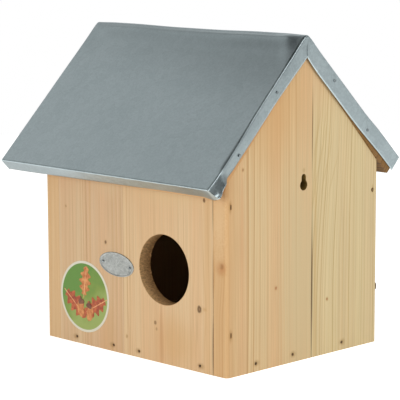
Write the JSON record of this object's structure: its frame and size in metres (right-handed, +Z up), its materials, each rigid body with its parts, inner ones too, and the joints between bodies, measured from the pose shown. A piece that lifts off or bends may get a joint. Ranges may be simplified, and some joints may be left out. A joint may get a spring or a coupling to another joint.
{
  "type": "squirrel house",
  "caption": "Gable-roofed pine squirrel house with a round entrance, a folded zinc roof sheet, a keyhole for hanging and a rear clean-out door on nail pivots.",
  "frame": {"origin": "centre of the base, on the surface that the house stands on, midway between the gables and midway between their front and rear edges", "axes": "+Z up, -Y towards the entrance side, +X towards the gable with the keyhole"},
  "size_m": [0.305, 0.2781, 0.3211],
  "materials": {
    "pine_wall": "planed, untreated, vertical grain",
    "pine_inner": "rough sawn, untreated",
    "zinc_sheet": "galvanised sheet, fine spangle, satin",
    "nail_steel": "dull wire nail steel",
    "tack_zinc": "dull zinc-plated",
    "latch_steel": "dark wire, dull",
    "plate_zinc": "dimpled, matt",
    "label_film": null
  },
  "bodies": {
    "house": {"gable_right_front_board": "pine_wall", "gable_right_rear_board": "pine_wall", "gable_left_front_board": "pine_wall", "gable_left_rear_board": "pine_wall", "front_board_left": "pine_wall", "front_board_middle": "pine_wall", "front_board_entrance": "pine_wall", "floor_board": "pine_inner", "roof_board_front": "pine_inner", "roof_board_rear": "pine_inner", "roof_sheet": "zinc_sheet", "rake_nails_right": "tack_zinc", "rake_nails_left": "tack_zinc", "roof_nails": "nail_steel", "floor_nails_front": "nail_steel", "floor_nails_right": "nail_steel", "floor_nails_left": "nail_steel", "wall_nails_right": "nail_steel", "wall_nails_left": "nail_steel", "door_pivot_nail_right": "nail_steel", "door_pivot_nail_left": "nail_steel", "name_plate": "plate_zinc", "plate_pins": "nail_steel", "picture_label": "label_film"},
    "door": {"clean_out_door": "pine_wall"},
    "latch": {"latch_hook": "latch_steel"}
  },
  "joints": [
    {"name": "door_hinge", "type": "hinge", "parent": "house", "child": "door", "pos_m": [0, 0.103, 0.159], "axis": [1, 0, 0], "range_deg": [0, 105]},
    {"name": "latch_turn", "type": "hinge", "parent": "house", "child": "latch", "pos_m": [0.116, 0.1106, 0.061], "axis": [0, 1, 0], "range_deg": [0, 90]}
  ]
}
